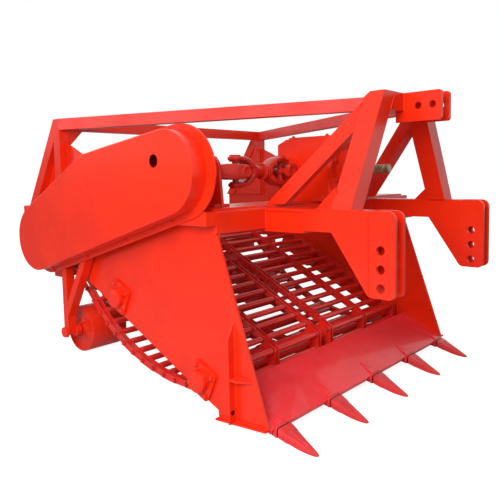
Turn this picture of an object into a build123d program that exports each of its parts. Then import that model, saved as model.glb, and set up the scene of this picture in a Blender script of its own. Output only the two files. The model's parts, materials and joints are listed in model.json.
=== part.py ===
"""Tractor-mounted cassava harvester: a toothed digging blade that lifts the roots onto a
rod-link elevator web, in a welded frame on a three-point hitch, with two drum gauge wheels.

Millimetres. Every piece is drawn level: X across, left side negative, Y backwards from the
tooth tips, Z up from the tooth tips. park() then tips the whole machine back until the teeth
and the wheels stand on the ground together, and puts the origin under its middle.
"""

from build123d import *
import os
from math import asin, atan2, cos, degrees, hypot, pi, radians, sin, tan

# Clearances
FIT = 0.05              # radial clearance of a pin or shaft in its bore
SEAT = 0.3              # clearance between curved faces that only lie near each other

# Side plates, their foot flange and their front stiffener
SIDE_X = 847.0          # outer face
PLATE = 12.0
INNER_X = SIDE_X - PLATE
FRAME_REAR = 1960.0
FOOT_FRONT, FOOT_REAR = (184.0, 77.0), (464.0, 57.0)
FOOT_WIDTH, FOOT_THICK = 22.0, 8.0
STIFFENER_Y, STIFFENER_TOP, STIFFENER_WIDTH, STIFFENER_THICK = 362.0, 425.0, 38.0, 8.0
SHELF_Z, SHELF_FRONT = 255.0, 262.0
PIN_HOLE, PIN_HOLE_R = (388.0, 114.0), 9.0

# Crossbeam, deck plate and side rails
BEAM_Y, BEAM_DEPTH = 450.0, 100.0
BEAM_Z, BEAM_HEIGHT = 853.0, 100.0
DECK_THICK, DECK_REAR = 10.0, 700.0
DECK_TOP = BEAM_Z + BEAM_HEIGHT + DECK_THICK
RAIL = 60.0
RAIL_TOP = BEAM_Z + BEAM_HEIGHT - 1

# Lower hitch: arms, and twin plates with three pin holes
HITCH_OUT_X, HITCH_IN_X = 524.0, 438.0
LUG_THICK = 16.0
LUG_FRONT, LUG_BACK, LUG_BOTTOM = -200.0, -80.0, 598.0
LUG_SLOPE_Y = 95.0      # where the slanting edge of a plate meets the arm
ARM_HEIGHT = 96.0
ARM_TOP = BEAM_Z + ARM_HEIGHT
ARM_PAD_FRONT, ARM_PAD_THICK = 235.0, 10.0
HITCH_HOLE_R = 18.7
HITCH_HOLE_Y, HITCH_HOLE_Z, HITCH_HOLE_STEP = -135.0, 716.0, 76.2

# Mast legs and their braces
MAST_DEPTH, MAST_WIDTH, MAST_RISE = 96.0, 100.0, 514.0
MAST_LEAN = 0.564       # sideways lean, mm per mm of height
MAST_TOP = ARM_TOP + MAST_RISE
MAST_CHAMFER = 24.0
BRACE = 66.0
BRACE_HEAD_X, BRACE_HEAD_DROP = 225.0, 50.0
BRACE_FOOT_X, BRACE_FOOT_Y = 428.0, 470.0

# Top clevis
CLEVIS_OUT_X, CLEVIS_THICK = 53.0, 18.0
CLEVIS_FRONT, CLEVIS_DROP = -180.0, 133.0
CLEVIS_HOLE_R, CLEVIS_HOLE_DROP = 16.2, 62.0
CLEVIS_HOLES_Y = (-138.0, -69.0)

# Upper frame: top rails, rear crossbar and rear posts
TOP_TUBE = 60.0
RAIL_MAST_X, RAIL_MAST_DROP = 150.0, 18.0
REAR_BAR_Y, REAR_BAR_DROP = 1604.0, 38.0
POST_OUT_X = SIDE_X + 22.0
POST_TOP = MAST_TOP - REAR_BAR_DROP

# Gauge wheels, their brackets and the beam behind them
WHEEL_R, WHEEL_W, WHEEL_OUT_X = 127.0, 220.0, 820.0
WHEEL_Y, WHEEL_Z = 1563.0, 267.0
WHEEL_GAP = 8.0         # side gap between a wheel and what carries it
AXLE_R, BOSS_R = 20.0, 33.0
BRACKET_BAR, BRACKET_OUT_X, BRACKET_DEPTH = 42.0, SIDE_X + 58.0, 50.0
STAY_TOP_Y, STAY_FOOT_Z = 1245.0, 355.0
REAR_BEAM, REAR_BEAM_Y, REAR_BEAM_Z = 80.0, 1700.0, 545.0

# Digging blade and teeth
BLADE_FRONT, BLADE_REAR = (180.0, 79.0), (440.0, 197.0)
BLADE_THICK = 20.0
TOOTH_COUNT, TOOTH_MARGIN = 5, 65.0
TOOTH_ROOT_W, TOOTH_TIP_W, TOOTH_TIP_THICK = 92.0, 44.0, 10.0
RIDGE_LENGTH, RIDGE_HEIGHT, RIDGE_W = 98.0, 11.0, 14.0

# Elevator web: shafts in the side view, and the loop that runs round them
NOSE_Y, NOSE_Z, NOSE_R = 557.0, 209.0, 75.0
DRIVE_Y, DRIVE_Z = 1685.0, 785.0
SUPPORT_Y = 1140.0
SAG_R, SAG_SLOPE = 1000.0, 45.0
LINKS, SPROCKET_TEETH = 38, 6
ROD_R, STRAND_H, LINK_PLATE, LINK_SPREAD = 10.0, 32.0, 7.0, 36.0
WEB_MARGIN, WEB_GAP_X = 53.0, 58.0
WEB_EDGE_X = INNER_X - WEB_MARGIN
ROD_OVERHANG = 30.0
SHAFT_R, SPROCKET_W = 25.0, 14.0

# Drive: gearbox, cross shaft and chain case
SHAFT_Y, SHAFT_HEIGHT = 611.0, 155.0
SHAFT_Z = DECK_TOP + SHAFT_HEIGHT
GEARBOX_X, GEARBOX_Y0, GEARBOX_Y1, GEARBOX_HEIGHT = 120.0, 360.0, 700.0, 320.0
GEARBOX_TOP = DECK_TOP + GEARBOX_HEIGHT
FLANGE_R, COLLAR_R, NECK_R = 148.0, 100.0, 52.0
PTO_R, PTO_LENGTH = 22.225, 153.0
JOINT_LEFT_X, JOINT_RIGHT_X = -585.0, -235.0
STAND_X = -710.0
CASE_DEPTH, CASE_BACK, CASE_WALL = 90.0, 8.0, 4.0
CASE_X1 = -SIDE_X - RAIL
CASE_X0 = CASE_X1 - CASE_DEPTH
CASE_BULGE = 93.5       # height of the middle lobe above the line between the shafts
CASE_LOBES = (          # Y, Z and radius of each lobe
    (SHAFT_Y, SHAFT_Z, 180.0),
    (1165.0, (SHAFT_Z + DRIVE_Z) / 2 + CASE_BULGE, 175.0),
    (DRIVE_Y, DRIVE_Z, 175.0),
)
CASE_RIM, CASE_RIM_FRONT = 24.0, 26.0
SIGHT_HOLE, SIGHT_HOLE_R = (52.0, 50.0), 28.0

NODES = {}


def block(x0, x1, y0, y1, z0, z1):
    """Box between two corners."""
    return Pos((x0 + x1) / 2, (y0 + y1) / 2, (z0 + z1) / 2) * Box(x1 - x0, y1 - y0, z1 - z0)


def slab(outline, x0, x1):
    """Side-view outline of (y, z) points, extruded from x0 to x1."""
    face = make_face(Polyline(*[(x0, y, z) for y, z in outline], close=True))
    return extrude(face, amount=x1 - x0, dir=(1, 0, 0))


def front_slab(outline, y0, y1):
    """Front-view outline of (x, z) points, extruded from y0 to y1."""
    face = make_face(Polyline(*[(x, y0, z) for x, z in outline], close=True))
    return extrude(face, amount=y1 - y0, dir=(0, 1, 0))


def plan_slab(outline, z0, z1):
    """Plan outline of (x, y) points, extruded from z0 to z1."""
    face = make_face(Polyline(*[(x, y, z0) for x, y in outline], close=True))
    return extrude(face, amount=z1 - z0, dir=(0, 0, 1))


def rod_x(y, z, radius, x0, x1):
    """Round bar along X."""
    return Pos((x0 + x1) / 2, y, z) * Rot(0, 90, 0) * Cylinder(radius, x1 - x0)


def rod_y(x, z, radius, y0, y1):
    """Round bar along Y."""
    return Pos(x, (y0 + y1) / 2, z) * Rot(90, 0, 0) * Cylinder(radius, y1 - y0)


def corner_edges(solid, y, z):
    """Edges along X that pass through a point of the side view."""
    edges = solid.edges().filter_by(Axis.X)
    return edges.filter_by(lambda edge: hypot(edge.center().Y - y, edge.center().Z - z) < 0.5)


def both_sides(name, left):
    """Keeps a left-hand piece and its mirror image."""
    NODES[name + "_left"] = left
    NODES[name + "_right"] = mirror(left, about=Plane.YZ)


def support_z():
    """Height of the support shaft, on the line from the nose shaft to the drive shaft."""
    return NOSE_Z + (DRIVE_Z - NOSE_Z) * (SUPPORT_Y - NOSE_Y) / (DRIVE_Y - NOSE_Y)


def foot_z(y):
    """Height of the foot of the side plate."""
    (y0, z0), (y1, z1) = FOOT_FRONT, FOOT_REAR
    return z0 + (z1 - z0) * (y - y0) / (y1 - y0)


def side_plates():
    """Side plate with its foot flange, front stiffener, shelf and shaft holes."""
    neck_y = BEAM_Y - 8
    outline = [
        (neck_y, BEAM_Z), (neck_y, BEAM_Z - 21), FOOT_FRONT, FOOT_REAR,
        (FOOT_REAR[0] + 1, 94), (516, 117), (1405, 551), (1412, 640),
        (FRAME_REAR - 60, 640), (FRAME_REAR, 720), (FRAME_REAR, RAIL_TOP),
        (BEAM_Y + BEAM_DEPTH, RAIL_TOP), (BEAM_Y + BEAM_DEPTH, BEAM_Z),
    ]
    plate = slab(outline, -SIDE_X, -INNER_X)
    for y, z in ((NOSE_Y, NOSE_Z), (SUPPORT_Y, support_z()), (DRIVE_Y, DRIVE_Z)):
        plate -= rod_x(y, z, SHAFT_R + 5, -SIDE_X - 1, -INNER_X + 1)
    plate -= rod_x(*PIN_HOLE, PIN_HOLE_R, -SIDE_X - 1, -INNER_X + 1)

    (y0, z0), (y1, z1) = FOOT_FRONT, FOOT_REAR
    foot = slab(
        [(y0, z0), (y1, z1), (y1, z1 + FOOT_THICK), (y0, z0 + FOOT_THICK)],
        -SIDE_X - FOOT_WIDTH, -SIDE_X,
    )
    edge_x = -SIDE_X - STIFFENER_WIDTH
    low = foot_z(STIFFENER_Y + STIFFENER_THICK) + FOOT_THICK / 2
    stiffener = front_slab(
        [(-SIDE_X, low), (edge_x, low), (edge_x, STIFFENER_TOP), (-SIDE_X, STIFFENER_TOP + 75)],
        STIFFENER_Y, STIFFENER_Y + STIFFENER_THICK,
    )
    shelf = plan_slab(
        [(-SIDE_X, SHELF_FRONT), (edge_x, STIFFENER_Y - 40), (edge_x, STIFFENER_Y), (-SIDE_X, STIFFENER_Y)],
        SHELF_Z, SHELF_Z + STIFFENER_THICK,
    )
    both_sides("side_plate", plate + foot + stiffener + shelf)


def side_rails():
    """Square rail along the top of each side plate."""
    rail = block(-SIDE_X - RAIL, -SIDE_X, BEAM_Y, FRAME_REAR, RAIL_TOP - RAIL, RAIL_TOP)
    both_sides("side_rail", fillet(rail.edges().filter_by(Axis.Y), 6))


def crossbeam():
    """Main beam across the machine, and the deck plate on it."""
    top = BEAM_Z + BEAM_HEIGHT
    beam = block(-SIDE_X, SIDE_X, BEAM_Y, BEAM_Y + BEAM_DEPTH, BEAM_Z, top)
    NODES["crossbeam"] = fillet(beam.edges().filter_by(Axis.X), 8)
    NODES["deck_plate"] = block(-SIDE_X, SIDE_X, BEAM_Y + 10, DECK_REAR, top, DECK_TOP)


def hitch_arms():
    """Arm forward of the crossbeam that ends in the twin plates of a lower hitch clevis."""
    arm = block(-HITCH_OUT_X, -HITCH_IN_X, LUG_BACK, BEAM_Y, BEAM_Z, ARM_TOP)
    outline = [
        (LUG_SLOPE_Y, ARM_TOP), (LUG_FRONT, ARM_TOP), (LUG_FRONT, LUG_BOTTOM),
        (LUG_BACK, LUG_BOTTOM), (LUG_SLOPE_Y, BEAM_Z),
    ]
    lug = slab(outline, 0, LUG_THICK)
    lug = fillet(corner_edges(lug, LUG_FRONT, ARM_TOP), 36)
    lug = fillet(corner_edges(lug, LUG_FRONT, LUG_BOTTOM) + corner_edges(lug, LUG_BACK, LUG_BOTTOM), 30)
    for step in (-1, 0, 1):
        lug -= rod_x(HITCH_HOLE_Y, HITCH_HOLE_Z + step * HITCH_HOLE_STEP, HITCH_HOLE_R, -1, LUG_THICK + 1)
    pad = block(-HITCH_OUT_X - 8, -HITCH_IN_X + 8, ARM_PAD_FRONT, BEAM_Y, BEAM_Z - ARM_PAD_THICK, BEAM_Z)
    arm += Pos(-HITCH_OUT_X, 0, 0) * lug + Pos(-HITCH_IN_X - LUG_THICK, 0, 0) * lug
    both_sides("hitch_arm", arm + pad)


def mast_x(z, outer):
    """X of a mast leg's outer or inner face at a height, on the right-hand side."""
    return HITCH_OUT_X - MAST_LEAN * (z - ARM_TOP) - (0 if outer else MAST_WIDTH)


def masts():
    """Leaning mast legs on the hitch arms, each with a gusset behind its foot."""
    foot, head = HITCH_OUT_X, mast_x(MAST_TOP, True)
    outline = [
        (-foot, ARM_TOP), (-foot + MAST_WIDTH, ARM_TOP),
        (-head + MAST_WIDTH, MAST_TOP), (-head, MAST_TOP),
    ]
    leg = front_slab(outline, 0, MAST_DEPTH)
    leg = chamfer(corner_edges(leg, MAST_DEPTH, MAST_TOP), MAST_CHAMFER)
    gusset = slab([(MAST_DEPTH, ARM_TOP), (MAST_DEPTH + 98, ARM_TOP), (MAST_DEPTH, ARM_TOP + 92)], -489, -477)
    both_sides("mast", leg + gusset)


def top_clevis():
    """Head block between the mast legs and the two plates that take the top link."""
    bottom = MAST_TOP - CLEVIS_DROP
    low, high = mast_x(bottom + 50, False), mast_x(MAST_TOP, False)
    head = front_slab(
        [(-low, bottom + 50), (low, bottom + 50), (high, MAST_TOP), (-high, MAST_TOP)], 0, MAST_DEPTH
    )
    outline = [(40, MAST_TOP), (CLEVIS_FRONT, MAST_TOP), (CLEVIS_FRONT, bottom), (40, bottom)]
    ear = slab(outline, 0, CLEVIS_THICK)
    corners = corner_edges(ear, CLEVIS_FRONT, MAST_TOP) + corner_edges(ear, CLEVIS_FRONT, bottom)
    ear = fillet(corners, 14)
    for y in CLEVIS_HOLES_Y:
        ear -= rod_x(y, MAST_TOP - CLEVIS_HOLE_DROP, CLEVIS_HOLE_R, -1, CLEVIS_THICK + 1)
    NODES["top_clevis"] = head + Pos(-CLEVIS_OUT_X, 0, 0) * ear + Pos(CLEVIS_OUT_X - CLEVIS_THICK, 0, 0) * ear


def mast_braces():
    """Slanting tubes from the back of the mast legs down to the crossbeam."""
    head = Vector(-BRACE_HEAD_X, MAST_DEPTH - 40, MAST_TOP - BRACE_HEAD_DROP)
    foot = Vector(-BRACE_FOOT_X, BRACE_FOOT_Y + 30, DECK_TOP - 40)
    plane = Plane(origin=head, x_dir=(1, 0.25, 0), z_dir=foot - head)
    tube = extrude(plane * Rectangle(BRACE, BRACE), amount=(foot - head).length)
    keep = block(-HITCH_OUT_X, 0, MAST_DEPTH, DECK_REAR, DECK_TOP, MAST_TOP)
    both_sides("mast_brace", (tube & keep) - top_rail())


def top_rail():
    """Left top rail, square tube from the back of the mast leg to the rear crossbar."""
    post_x = POST_OUT_X - TOP_TUBE / 2
    run = atan2(post_x - RAIL_MAST_X, REAR_BAR_Y - MAST_DEPTH)
    half = TOP_TUBE / 2 / cos(run)
    plan = [
        (-RAIL_MAST_X - half, MAST_DEPTH), (-RAIL_MAST_X + half, MAST_DEPTH),
        (-post_x + half, REAR_BAR_Y), (-post_x - half, REAR_BAR_Y),
    ]
    high, low = MAST_TOP - RAIL_MAST_DROP, POST_TOP
    side = [
        (MAST_DEPTH, high), (REAR_BAR_Y, low),
        (REAR_BAR_Y, low - TOP_TUBE), (MAST_DEPTH, high - TOP_TUBE),
    ]
    return plan_slab(plan, low - 2 * TOP_TUBE, MAST_TOP) & slab(side, -POST_OUT_X - TOP_TUBE, 0)


def upper_frame():
    """Top rails from the mast to the rear crossbar, and the crossbar on its posts."""
    both_sides("top_rail", top_rail())
    NODES["rear_crossbar"] = block(
        -POST_OUT_X, POST_OUT_X, REAR_BAR_Y, REAR_BAR_Y + TOP_TUBE, POST_TOP - TOP_TUBE, POST_TOP
    )


def rear_frames():
    """Rear post, slanting rear bar and the plate between them, on each side rail."""
    back, inner = REAR_BAR_Y + TOP_TUBE, -POST_OUT_X + TOP_TUBE
    post = block(-POST_OUT_X, inner, REAR_BAR_Y, back, RAIL_TOP, POST_TOP - TOP_TUBE)
    bar_foot, bar_head = FRAME_REAR - 72, POST_TOP - 118
    bar = slab(
        [(back, POST_TOP - 8), (FRAME_REAR, RAIL_TOP), (bar_foot, RAIL_TOP), (back, bar_head)],
        -POST_OUT_X, inner,
    )
    infill = slab([(back, bar_head), (bar_foot, RAIL_TOP), (back, RAIL_TOP)], inner - 16, inner - 10)
    low = POST_TOP - TOP_TUBE
    gusset = front_slab([(inner, low), (inner + 90, low), (inner, low - 90)], REAR_BAR_Y + 4, REAR_BAR_Y + 12)
    both_sides("rear_frame", post + bar + infill + gusset)


def gauge_wheels():
    """Steel drum wheels with dished discs."""
    dish, wall, disc, hub = 16.0, 10.0, 8.0, 38.0
    drum = rod_x(0, 0, WHEEL_R, 0, WHEEL_W)
    drum = chamfer(drum.edges().filter_by(GeomType.CIRCLE), 3)
    for x0, x1 in ((-1, dish), (dish + disc, WHEEL_W - dish - disc), (WHEEL_W - dish, WHEEL_W + 1)):
        drum -= rod_x(0, 0, WHEEL_R - wall, x0, x1)
    drum += rod_x(0, 0, hub, 2, WHEEL_W - 2)
    drum -= rod_x(0, 0, AXLE_R + FIT, -1, WHEEL_W + 1)
    both_sides("gauge_wheel", Pos(-WHEEL_OUT_X, WHEEL_Y, WHEEL_Z) * drum)


def wheel_mounts():
    """V brackets outside the wheels, hangers inside them, their axles, and the rear beam."""
    half, out_x = BRACKET_BAR / 2, BRACKET_OUT_X
    in_x, seat_x = out_x - BRACKET_DEPTH, WHEEL_OUT_X + WHEEL_GAP
    rail_low = RAIL_TOP - RAIL
    front_y, back_y = WHEEL_Y - half, WHEEL_Y + half
    foot_z = WHEEL_Z - 15
    upright = slab(
        [(front_y, foot_z), (back_y, foot_z), (back_y, rail_low), (front_y, rail_low)], -out_x, -in_x
    )
    stay = slab(
        [
            (WHEEL_Y, STAY_FOOT_Z - 40), (WHEEL_Y, STAY_FOOT_Z + 40),
            (STAY_TOP_Y + half, rail_low), (STAY_TOP_Y - half, rail_low),
        ],
        -out_x, -in_x,
    )
    boss = rod_x(WHEEL_Y, WHEEL_Z, BOSS_R, -in_x - 1, -seat_x)
    bore = rod_x(WHEEL_Y, WHEEL_Z, AXLE_R + FIT, -out_x - 1, -seat_x + 1)
    both_sides("wheel_bracket", upright + stay + boss - bore)

    x0 = -WHEEL_OUT_X + WHEEL_W + WHEEL_GAP
    x1 = x0 + 14
    beam_back, beam_top = REAR_BEAM_Y + REAR_BEAM, REAR_BEAM_Z + REAR_BEAM
    hanger = slab(
        [(front_y, WHEEL_Z), (back_y, WHEEL_Z), (beam_back, REAR_BEAM_Z), (REAR_BEAM_Y, REAR_BEAM_Z)],
        x0, x1,
    )
    hanger += rod_x(WHEEL_Y, WHEEL_Z, BOSS_R, x0, x1)
    hanger -= rod_x(WHEEL_Y, WHEEL_Z, AXLE_R + FIT, x0 - 1, x1 + 1)
    both_sides("wheel_hanger", hanger)

    axle = rod_x(WHEEL_Y, WHEEL_Z, AXLE_R, -out_x - 12, x1 + 12)
    head = rod_x(WHEEL_Y, WHEEL_Z, AXLE_R + 8, -out_x - 16, -out_x)
    nut = rod_x(WHEEL_Y, WHEEL_Z, AXLE_R + 8, x1, x1 + 16)
    both_sides("wheel_axle", axle + head + nut)
    beam = block(-INNER_X, INNER_X, REAR_BEAM_Y, beam_back, REAR_BEAM_Z, beam_top)
    end_plate = block(-INNER_X, -INNER_X + 10, REAR_BEAM_Y, beam_back, beam_top, beam_top + 75)
    NODES["rear_beam"] = beam + end_plate + mirror(end_plate, about=Plane.YZ)


def blade_slope():
    """Rise of the blade, in radians."""
    return atan2(BLADE_REAR[1] - BLADE_FRONT[1], BLADE_REAR[0] - BLADE_FRONT[0])


def on_blade(along, up):
    """Side-view point on the blade: distance up its slope from the front edge, and height off it."""
    slope = blade_slope()
    y, z = BLADE_FRONT
    return y + along * cos(slope) - up * sin(slope), z + along * sin(slope) + up * cos(slope)


def digging_blade():
    """Sloping blade plate between the side plates."""
    length = hypot(BLADE_REAR[0] - BLADE_FRONT[0], BLADE_REAR[1] - BLADE_FRONT[1])
    outline = [BLADE_FRONT, BLADE_REAR, on_blade(length, -BLADE_THICK), on_blade(0, -BLADE_THICK)]
    NODES["digging_blade"] = slab(outline, -INNER_X, INNER_X)


def digging_teeth():
    """Five wedge teeth on the blade's front edge, with a heel under it and a ridge over it."""
    step = 2 * (INNER_X - TOOTH_MARGIN) / (TOOTH_COUNT - 1)
    tip, root = TOOTH_TIP_W / 2, TOOTH_ROOT_W / 2
    heel, collar = on_blade(52, -BLADE_THICK), on_blade(6, -BLADE_THICK - 18)
    outline = [
        (0, 0), (0, TOOTH_TIP_THICK), BLADE_FRONT, on_blade(0, -BLADE_THICK),
        heel, collar, (150, 30), (60, 6.5),
    ]
    ridge_side = [on_blade(0, 0), on_blade(0, RIDGE_HEIGHT), on_blade(RIDGE_LENGTH, 0)]
    for number in range(TOOTH_COUNT):
        x = (number - (TOOTH_COUNT - 1) / 2) * step
        plan = [
            (x - tip, -1), (x + tip, -1), (x + root - 6, 118), (x + root, 140), (x + root, 300),
            (x - root, 300), (x - root, 140), (x - root + 6, 118),
        ]
        body = slab(outline, x - root, x + root) & plan_slab(plan, -10, 200)
        nose = slab([BLADE_FRONT, on_blade(0, RIDGE_HEIGHT), (118, 66), (100, 45)], x - RIDGE_W, x + RIDGE_W)
        ridge = slab(ridge_side, x - RIDGE_W / 2, x + RIDGE_W / 2)
        NODES[f"tooth_{number + 1}"] = body + nose + ridge


def on_circle(centre, radius, angle):
    """Point of a circle in the side view, its angle in degrees."""
    return centre[0] + radius * cos(radians(angle)), centre[1] + radius * sin(radians(angle))


def length_of(piece):
    """Length of one piece of the loop."""
    if piece[0] == "line":
        return hypot(piece[2][0] - piece[1][0], piece[2][1] - piece[1][1])
    return piece[2] * radians(abs(piece[4] - piece[3]))


def loop_on(drive_r):
    """The loop on a drive circle, as lines (start, end) and arcs (centre, radius, from, to)."""
    rise = atan2(DRIVE_Z - NOSE_Z, DRIVE_Y - NOSE_Y)
    span = hypot(DRIVE_Z - NOSE_Z, DRIVE_Y - NOSE_Y)
    top = degrees(rise + asin((drive_r - NOSE_R) / span)) + 90
    low = SAG_SLOPE - 90
    nose, drive = (NOSE_Y, NOSE_Z), (DRIVE_Y, DRIVE_Z)
    leave, nose_low = on_circle(drive, drive_r, low), on_circle(nose, NOSE_R, -90)
    bend_z = nose_low[1] + SAG_R * (1 - cos(radians(SAG_SLOPE)))
    bend_y = leave[0] - (leave[1] - bend_z) / tan(radians(SAG_SLOPE))
    sag = (bend_y - SAG_R * sin(radians(SAG_SLOPE)), nose_low[1] + SAG_R)
    upper = [("line", on_circle(nose, NOSE_R, top), on_circle(drive, drive_r, top))]
    lower = [
        ("arc", drive, drive_r, top, low),
        ("line", leave, (bend_y, bend_z)),
        ("arc", sag, SAG_R, low, -90),
        ("line", (sag[0], nose_low[1]), nose_low),
        ("arc", nose, NOSE_R, -90, top - 360),
    ]
    return upper, lower


def web_loop():
    """Upper and lower run, rod pitch and drive radius, so that the sprocket teeth fit the pitch."""
    drive_r = NOSE_R
    for _ in range(8):
        upper, lower = loop_on(drive_r)
        pitch = sum(length_of(piece) for piece in upper + lower) / LINKS
        drive_r = pitch * SPROCKET_TEETH / (2 * pi)
    return upper, lower, pitch, drive_r


def rod_places(pieces, skip, pitch):
    """Rod centres along the pieces, from a first one after a length, and the length left over."""
    places, travelled = [], skip
    for piece in pieces:
        length = length_of(piece)
        while travelled < length:
            share = travelled / length
            if piece[0] == "line":
                (y0, z0), (y1, z1) = piece[1], piece[2]
                places.append((y0 + (y1 - y0) * share, z0 + (z1 - z0) * share))
            else:
                places.append(on_circle(piece[1], piece[2], piece[3] + (piece[4] - piece[3]) * share))
            travelled += pitch
        travelled -= length
    return places, travelled


def strand_face(pieces):
    """Side-view face of a chain strand that follows the pieces of the loop."""
    edges, ends = [], []
    for side in (1, -1):
        offset = side * STRAND_H / 2
        first = last = None
        for piece in pieces:
            if piece[0] == "line":
                (y0, z0), (y1, z1) = piece[1], piece[2]
                length = length_of(piece)
                across = (-(z1 - z0) / length * offset, (y1 - y0) / length * offset)
                start, end = (y0 + across[0], z0 + across[1]), (y1 + across[0], z1 + across[1])
                edges.append(Line(start, end))
            else:
                centre, radius = piece[1], piece[2] + offset
                start, end = on_circle(centre, radius, piece[3]), on_circle(centre, radius, piece[4])
                edges.append(CenterArc(centre, radius, piece[3], piece[4] - piece[3]))
            first = first or start
            last = end
        ends.append((first, last))
    edges += [Line(ends[0][0], ends[1][0]), Line(ends[0][1], ends[1][1])]
    return Plane.YZ * make_face(edges)


def strand_xs():
    """X of the three strands of the left-hand web."""
    return -WEB_EDGE_X, -(WEB_EDGE_X + WEB_GAP_X) / 2, -WEB_GAP_X


def elevator_webs():
    """Two webs side by side, each of round rods through three strands of twin link plates."""
    upper, lower, pitch, _ = web_loop()
    upper_rods, left_over = rod_places(upper, pitch / 2, pitch)
    lower_rods, _ = rod_places(lower, left_over, pitch)
    x0, x1 = -WEB_EDGE_X - ROD_OVERHANG, -WEB_GAP_X + ROD_OVERHANG
    plate_xs = [x + side * (LINK_SPREAD - LINK_PLATE) / 2 for x in strand_xs() for side in (-1, 1)]
    for name, pieces, rods in (("web_upper", upper, upper_rods), ("web_return", lower, lower_rods)):
        face = strand_face(pieces)
        plate = extrude(face, amount=LINK_PLATE, dir=(1, 0, 0))
        plates = [Pos(x - LINK_PLATE / 2, 0, 0) * plate for x in plate_xs]
        bar = Rot(0, 90, 0) * extrude(RegularPolygon(ROD_R, 8), amount=x1 - x0)
        bars = [Pos(x0, y, z) * bar for y, z in rods]
        both_sides(name, plates[0].fuse(*plates[1:], *bars))
    return lower_rods[0]


def web_shafts(first_rod):
    """Nose roller, support shaft and toothed drive shaft inside the web."""
    drive_r = web_loop()[3]
    ring_r = NOSE_R - STRAND_H / 2 - SEAT
    ring_half = LINK_SPREAD / 2 + 4
    reach = SIDE_X + 30
    strands = strand_xs() + tuple(-x for x in strand_xs())
    nose = rod_x(NOSE_Y, NOSE_Z, SHAFT_R, -reach, reach)
    nose += rod_x(NOSE_Y, NOSE_Z, ring_r - 12, -WEB_EDGE_X + ring_half, WEB_EDGE_X - ring_half)
    support = rod_x(SUPPORT_Y, support_z(), SHAFT_R, -reach, reach)
    for x in strands:
        nose += rod_x(NOSE_Y, NOSE_Z, ring_r, x - ring_half, x + ring_half)
        support += rod_x(SUPPORT_Y, support_z(), ring_r, x - ring_half, x + ring_half)
    NODES["nose_roller"] = nose
    NODES["support_shaft"] = support

    drive = rod_x(DRIVE_Y, DRIVE_Z, SHAFT_R, -reach, reach)
    start = degrees(atan2(first_rod[1] - DRIVE_Z, first_rod[0] - DRIVE_Y))
    sprocket = rod_x(DRIVE_Y, DRIVE_Z, drive_r, -SPROCKET_W / 2, SPROCKET_W / 2)
    for tooth in range(SPROCKET_TEETH):
        pocket = on_circle((DRIVE_Y, DRIVE_Z), drive_r, start + tooth * 360 / SPROCKET_TEETH)
        sprocket -= rod_x(*pocket, ROD_R + 2, -SPROCKET_W, SPROCKET_W)
    for x in strands:
        drive += Pos(x, 0, 0) * sprocket
    NODES["drive_shaft"] = drive


def shaft_bearings():
    """Square four-bolt flange bearings on the side plates, one pair to each shaft."""
    side, thick, housing, depth, turn = 142.0, 14.0, 50.0, 44.0, 25.0
    places = (
        ("nose_bearing", NOSE_Y, NOSE_Z),
        ("support_bearing", SUPPORT_Y, support_z()),
        ("drive_bearing", DRIVE_Y, DRIVE_Z),
    )
    flange = extrude(Plane.YZ * Rectangle(side, side), amount=-thick, dir=(1, 0, 0))
    flange = fillet(flange.edges().filter_by(Axis.X), 18)
    unit = flange + rod_x(0, 0, housing, -depth, 0)
    unit = chamfer(unit.edges().filter_by(GeomType.CIRCLE).sort_by(Axis.X)[:1], 6)
    unit -= rod_x(0, 0, SHAFT_R + FIT, -32, 1)
    for name, y, z in places:
        both_sides(name, Pos(-SIDE_X, y, z) * Rot(turn, 0, 0) * unit)


def gearbox():
    """Right-angle gearbox as a closed block, with its base, top cover and stepped front flange."""
    front, base_top = GEARBOX_Y0, DECK_TOP + 22
    body = block(-GEARBOX_X, GEARBOX_X, front, GEARBOX_Y1, base_top, GEARBOX_TOP)
    body = chamfer(corner_edges(body, GEARBOX_Y1, GEARBOX_TOP), 30, 68)
    body = fillet(body.edges().filter_by(Axis.Z), 16)
    body += block(-GEARBOX_X - 22, GEARBOX_X + 22, front + 20, GEARBOX_Y1 - 20, DECK_TOP, base_top)
    body += block(-GEARBOX_X + 6, GEARBOX_X - 6, front + 10, GEARBOX_Y1 - 78, GEARBOX_TOP, GEARBOX_TOP + 8)
    steps = ((FLANGE_R, 24.0), (COLLAR_R, 38.0), (NECK_R, 48.0))
    for radius, length in steps:
        body += rod_y(0, SHAFT_Z, radius, front - length, front)
        front -= length
    body += rod_x(SHAFT_Y, SHAFT_Z, 72, -GEARBOX_X - 18, -GEARBOX_X)
    NODES["gearbox"] = body
    NODES["input_shaft"] = rod_y(0, SHAFT_Z, PTO_R, front - PTO_LENGTH, front)


def fork(length, turn):
    """Fork of a universal joint, its hub at the left and its cross pin at X = 0."""
    hub = rod_x(0, 0, 38, -length, -52)
    web = block(-62, -44, -62, 62, -34, 34)
    ears = [block(-52, 24, y - 10, y + 10, -30, 30) for y in (-52, 52)]
    eyes = [rod_y(0, 0, 22, y - 13, y + 13) for y in (-52, 52)]
    return Rot(turn, 0, 0) * (hub + web + ears[0] + ears[1] + eyes[0] + eyes[1])


def cross_shaft():
    """Cardan shaft with two universal joints between the gearbox and the chain case."""
    left, right, inner_fork = JOINT_LEFT_X, JOINT_RIGHT_X, 120
    gearbox_fork = -GEARBOX_X - 18 - right
    spider = rod_y(0, 0, 15, -66, 66) + Cylinder(15, 132)
    flip = Rot(0, 180, 0)
    shaft = Pos(left, 0, 0) * (fork(100, 90) + flip * fork(inner_fork, 0) + spider)
    shaft += Pos(right, 0, 0) * (fork(inner_fork, 0) + flip * fork(gearbox_fork, 90) + spider)
    shaft += rod_x(0, 0, 30, left + 100, right - 100)
    shaft += rod_x(0, 0, SHAFT_R, CASE_X1, left - 90)
    NODES["cross_shaft"] = Pos(0, SHAFT_Y, SHAFT_Z) * shaft


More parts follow.
